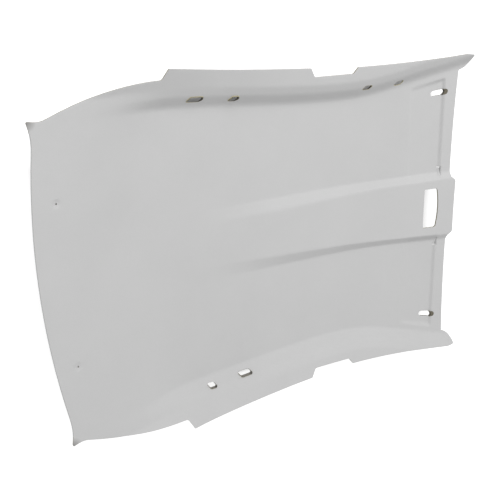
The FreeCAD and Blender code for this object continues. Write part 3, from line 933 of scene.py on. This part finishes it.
def painted_ear_tip_shade(tree):
    """Mask of painted shade on the cover close to the tips of the rear ears."""
    split = tree.nodes.new("ShaderNodeSeparateXYZ")
    tree.links.new(object_place(tree), split.inputs["Vector"])
    side = math_node(tree, "SUBTRACT", math_node(tree, "ABSOLUTE", split.outputs["Y"]), EAR_TIP[1])
    ahead = math_node(tree, "SUBTRACT", split.outputs["X"], EAR_TIP[0])
    squared = (math_node(tree, "MULTIPLY", part, part) for part in (side, ahead))
    away = math_node(tree, "SQRT", math_node(tree, "ADD", *squared))
    share = math_node(tree, "DIVIDE", away, EAR_FADE)
    mask = math_node(tree, "SUBTRACT", 1.0, share)
    mask.node.use_clamp = True
    return math_node(tree, "MULTIPLY", mask, EAR_TIP_SHADE_SHARE)


def cover_material(settings, clouds):
    """Light grey knitted cover."""
    material, tree, shader = new_material("headliner_fabric", 0.95, 0.08)
    shader.inputs["Sheen Weight"].default_value = 0.06
    shader.inputs["Sheen Roughness"].default_value = 0.6
    height = stitches(tree, settings.knit_pitch)
    wide = use_group(tree, clouds, Scale=5.0, Contrast=1.6).outputs["Mask"]
    fine = use_group(tree, clouds, Scale=240.0, Contrast=1.4).outputs["Mask"]
    tone = math_node(tree, "MULTIPLY", math_node(tree, "ADD", wide, fine), PATCH_SHARE)
    # The hollows between stitches are painted darker as shade, on top of the random tone patches
    mask = math_node(tree, "ADD", tone, math_node(tree, "MULTIPLY", height, STITCH_SHADE_SHARE))
    colour = shaded(tree, settings.fabric_colour, mask, COVER_DARKEST)
    # Painted shade at the rear ear tips: near-black mixed over the cover colour
    ear_tip_shade_mix = tree.nodes.new("ShaderNodeMix")
    ear_tip_shade_mix.data_type = "RGBA"
    ear_tip_shade_mix.inputs["B"].default_value = (*settings.ear_tip_shade_colour, 1.0)
    tree.links.new(colour, ear_tip_shade_mix.inputs["A"])
    tree.links.new(painted_ear_tip_shade(tree), ear_tip_shade_mix.inputs["Factor"])
    tree.links.new(ear_tip_shade_mix.outputs["Result"], shader.inputs["Base Color"])
    bump(tree, shader, height, settings.knit_height, STITCH_BUMP)
    return material


def layer_material(name, colour, clouds, fibres, texture):
    """One of the matted layers under the cover."""
    scale, darkest, height = texture
    material, tree, shader = new_material(name, 0.95)
    patches = use_group(tree, clouds, Scale=scale / FIBRES_TO_PATCH, Contrast=1.8)
    matted = use_group(tree, fibres, Scale=scale)
    both = math_node(tree, "ADD", patches.outputs["Mask"], matted.outputs["Strands"])
    mask = math_node(tree, "MULTIPLY", both, 0.5)
    tree.links.new(shaded(tree, colour, mask, darkest), shader.inputs["Base Color"])
    bump(tree, shader, matted.outputs["Height"], height)
    return material


def floor_material(settings):
    """Pale floor that looks white to the camera but for the shade of the panel."""
    material, tree, shader = new_material("floor", 1.0, 0.0)
    shader.inputs["Base Color"].default_value = (*settings.floor_colour, 1.0)
    split = tree.nodes.new("ShaderNodeSeparateXYZ")
    tree.links.new(object_place(tree), split.inputs["Vector"])
    away = {axis: math_node(tree, "ABSOLUTE", split.outputs[axis]) for axis in SHADE_EDGES}
    clear = 0.0
    for axis, (start, run) in SHADE_EDGES.items():
        past = math_node(tree, "SUBTRACT", away[axis], start)
        clear = math_node(tree, "MAXIMUM", clear, math_node(tree, "DIVIDE", past, run))
    start, run = SHADE_CORNER
    corner = math_node(tree, "SUBTRACT", away["Y"], split.outputs["X"])
    corner = math_node(tree, "DIVIDE", math_node(tree, "SUBTRACT", corner, start), run)
    clear = math_node(tree, "MAXIMUM", clear, corner)
    clear.node.use_clamp = True
    white = math_node(tree, "MULTIPLY", clear, settings.floor_glow)
    glow = math_node(tree, "MULTIPLY", seen_directly(tree), white)
    shader.inputs["Emission Color"].default_value = (1.0, 1.0, 1.0, 1.0)
    tree.links.new(glow, shader.inputs["Emission Strength"])
    return material


def put(context, name, data):
    """A new object in the scene."""
    thing = bpy.data.objects.new(name, data)
    context.scene.collection.objects.link(thing)
    return thing


def put_floor(context, settings):
    """Flat floor under the panel."""
    mesh = bpy.data.meshes.new("floor")
    near, far = -FLOOR_REACH, FLOOR_REACH
    corners = [(near, near, 0), (far, near, 0), (far, far, 0), (near, far, 0)]
    mesh.from_pydata(corners, [], [(0, 1, 2, 3)])
    mesh.materials.append(floor_material(settings))
    put(context, "floor", mesh)


def put_sky(context, settings):
    """Even light from all sides, which looks white to the camera."""
    world = bpy.data.worlds.new("studio")
    world.use_nodes = True
    tree = world.node_tree
    background = tree.nodes["Background"]
    background.inputs["Color"].default_value = (1.0, 1.0, 1.0, 1.0)
    white = math_node(tree, "MULTIPLY", seen_directly(tree), 1.0 - settings.sky_strength)
    strength = math_node(tree, "ADD", white, settings.sky_strength)
    tree.links.new(strength, background.inputs["Strength"])
    context.scene.world = world


def put_window(context, settings):
    """Broad soft light over the left side, towards the middle of the panel."""
    lamp = bpy.data.lights.new("window", "AREA")
    lamp.shape = "RECTANGLE"
    lamp.size, lamp.size_y = WINDOW_SIZE
    lamp.energy = settings.window_power
    turn = (-WINDOW_PLACE).to_track_quat("-Z", "Y").to_matrix().to_4x4()
    put(context, "window", lamp).matrix_world = Matrix.Translation(WINDOW_PLACE) @ turn


def put_camera(context):
    """Camera over the rear of the left side."""
    data = bpy.data.cameras.new("camera")
    data.lens = CAMERA_LENS
    data.sensor_width = SENSOR_WIDTH
    camera = put(context, "camera", data)
    back = -CAMERA_FORWARD.normalized()
    right = CAMERA_UP.cross(back).normalized()
    turn = Matrix((right, back.cross(right), back)).transposed().to_4x4()
    camera.matrix_world = Matrix.Translation(CAMERA_PLACE) @ turn
    context.scene.camera = camera


class HEADLINER_OT_panel(bpy.types.Operator):
    """Dresses the moulded panel"""

    bl_idname = "headliner.panel"
    bl_label = "Moulded panel"

    def execute(self, context):
        mesh = panel_mesh(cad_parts[PANEL_NODE])
        fabric = context.scene.headliner_fabric
        edge = context.scene.headliner_edge
        clouds = cloud_group()
        fibres = fibre_group()
        mesh.materials.append(cover_material(fabric, clouds))
        layers = (
            ("headliner_foam", edge.foam_colour, FOAM_TEXTURE),
            ("headliner_board", edge.board_colour, BOARD_TEXTURE),
            ("headliner_backing", edge.backing_colour, BACKING_TEXTURE),
        )
        for name, colour, texture in layers:
            mesh.materials.append(layer_material(name, colour, clouds, fibres, texture))
        skin = put(context, "headliner_panel_skin", mesh)
        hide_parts(PANEL_NODE)
        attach(skin, "root")
        return {"FINISHED"}


class HEADLINER_OT_stage(bpy.types.Operator):
    """Sets the floor, the light and the camera"""

    bl_idname = "headliner.stage"
    bl_label = "Stage"

    def execute(self, context):
        settings = context.scene.headliner_stage
        put_floor(context, settings)
        put_sky(context, settings)
        put_window(context, settings)
        put_camera(context)
        context.scene.view_settings.view_transform = "Standard"
        return {"FINISHED"}


class HEADLINER_PT_sidebar(bpy.types.Panel):
    """Lists the steps in the sidebar"""

    bl_label = "Headliner"
    bl_space_type = "VIEW_3D"
    bl_region_type = "UI"
    bl_category = "Headliner"

    def draw(self, context):
        layout = self.layout
        scene = context.scene
        for settings in (scene.headliner_fabric, scene.headliner_edge, scene.headliner_stage):
            for name in settings.bl_rna.properties.keys():
                if name not in ("rna_type", "name"):
                    layout.prop(settings, name)
        layout.operator(HEADLINER_OT_panel.bl_idname)
        layout.operator(HEADLINER_OT_stage.bl_idname)


CLASSES = (
    FabricSettings,
    EdgeSettings,
    StageSettings,
    HEADLINER_OT_panel,
    HEADLINER_OT_stage,
    HEADLINER_PT_sidebar,
)


def register():
    """Adds the classes and their settings."""
    for one in CLASSES:
        bpy.utils.register_class(one)
    bpy.types.Scene.headliner_stage = bpy.props.PointerProperty(type=StageSettings)
    bpy.types.Scene.headliner_fabric = bpy.props.PointerProperty(type=FabricSettings)
    bpy.types.Scene.headliner_edge = bpy.props.PointerProperty(type=EdgeSettings)


def unregister():
    """Takes the settings and the classes away."""
    del bpy.types.Scene.headliner_edge
    del bpy.types.Scene.headliner_fabric
    del bpy.types.Scene.headliner_stage
    for one in reversed(CLASSES):
        bpy.utils.unregister_class(one)


def main():
    """Builds everything."""
    register()
    bpy.ops.headliner.panel()
    bpy.ops.headliner.stage()


if __name__ == "__main__":
    main()
